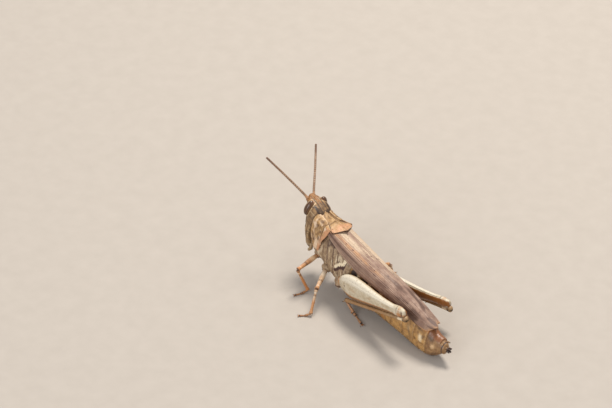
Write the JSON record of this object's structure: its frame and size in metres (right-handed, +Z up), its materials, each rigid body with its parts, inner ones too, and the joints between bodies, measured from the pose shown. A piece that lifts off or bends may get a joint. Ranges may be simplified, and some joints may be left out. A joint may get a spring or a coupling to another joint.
{
  "type": "grasshopper",
  "caption": "Still, life-size short-horned field grasshopper at rest, wings folded, hind legs drawn up, as a museum model.",
  "frame": {"origin": "middle of the insect's box at the level of the floor it stands on", "axes": "+X to the head along the body, +Y to the insect's left, +Z up"},
  "size_m": [0.0258, 0.0124, 0.0121],
  "materials": {
    "crown_shell": "satin horny shell, mottled brown, finely pitted",
    "eye_shell": "glossy brown compound eye with darker streaks and fine facets",
    "feeler_shell": "satin ringed feeler, grey brown, darker to the tip",
    "jaw_shell": "satin horny shell, olive brown with darker edges",
    "pronotum_shell": "satin pitted shell, sandy brown with pale keels and dark wedges",
    "chest_shell": "satin pitted shell, grey brown with dark seams",
    "wing_leather": "leathery fore wing with raised veins, tan to mauve brown, mottled",
    "belly_shell": "satin rings, straw yellow and brown with dark side spots",
    "tail_shell": "satin red brown end plates",
    "front_leg_shell": "satin orange brown leg shell with darker rings",
    "middle_leg_shell": "satin pale leg shell with brown shin",
    "jumping_thigh_shell": "satin pale thigh, herringbone ridges, brown lower edge",
    "jumping_shin_shell": "satin brown shin with pale base and dark tipped spines",
    "foot_shell": "satin brown foot with dark claws"
  },
  "bodies": {
    "root": {"head": "crown_shell", "mouthparts": "jaw_shell", "pronotum": "pronotum_shell", "thorax": "chest_shell", "abdomen_tip": "tail_shell", "eye_left": "eye_shell", "antenna_left": "feeler_shell", "palp_left": "jaw_shell", "wing_left": "wing_leather", "foreleg_left_coxa": "chest_shell", "foreleg_left_femur": "front_leg_shell", "foreleg_left_tibia": "front_leg_shell", "foreleg_left_foot": "foot_shell", "midleg_left_coxa": "chest_shell", "midleg_left_femur": "middle_leg_shell", "midleg_left_tibia": "middle_leg_shell", "midleg_left_foot": "foot_shell", "hindleg_left_coxa": "chest_shell", "hindleg_left_femur": "jumping_thigh_shell", "hindleg_left_tibia": "jumping_shin_shell", "hindleg_left_foot": "foot_shell", "eye_right": "eye_shell", "antenna_right": "feeler_shell", "palp_right": "jaw_shell", "wing_right": "wing_leather", "foreleg_right_coxa": "chest_shell", "foreleg_right_femur": "front_leg_shell", "foreleg_right_tibia": "front_leg_shell", "foreleg_right_foot": "foot_shell", "midleg_right_coxa": "chest_shell", "midleg_right_femur": "middle_leg_shell", "midleg_right_tibia": "middle_leg_shell", "midleg_right_foot": "foot_shell", "hindleg_right_coxa": "chest_shell", "hindleg_right_femur": "jumping_thigh_shell", "hindleg_right_tibia": "jumping_shin_shell", "hindleg_right_foot": "foot_shell", "abdomen_1": "belly_shell", "abdomen_2": "belly_shell", "abdomen_3": "belly_shell", "abdomen_4": "belly_shell", "abdomen_5": "belly_shell", "abdomen_6": "belly_shell", "abdomen_7": "belly_shell", "abdomen_8": "tail_shell"}
  },
  "joints": []
}
